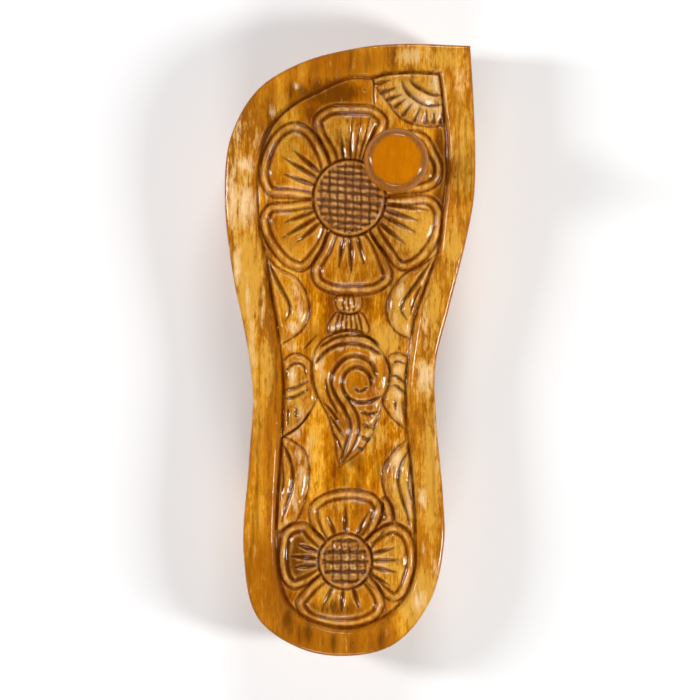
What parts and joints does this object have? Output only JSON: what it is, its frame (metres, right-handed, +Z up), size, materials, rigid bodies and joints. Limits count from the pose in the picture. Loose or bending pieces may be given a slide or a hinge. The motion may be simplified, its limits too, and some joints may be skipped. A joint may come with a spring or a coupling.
{
  "type": "paduka toe knob sandal",
  "caption": "Left-foot wooden sandal with an arched underside, a carved flower and conch top, and an upright knob that the toes grip.",
  "frame": {"origin": "middle of the bounding box at floor level, under the sole", "axes": "+Y from heel to toe, +X to the big-toe side, +Z up"},
  "size_m": [0.104, 0.2541, 0.076],
  "materials": {
    "carved_wood": "clear gloss varnish over golden orange lengthwise grain, dark stain left in the cuts",
    "turned_wood": "clear gloss varnish over smooth turned orange wood"
  },
  "bodies": {
    "root": {"sole": "carved_wood", "toe_knob": "turned_wood"}
  },
  "joints": []
}
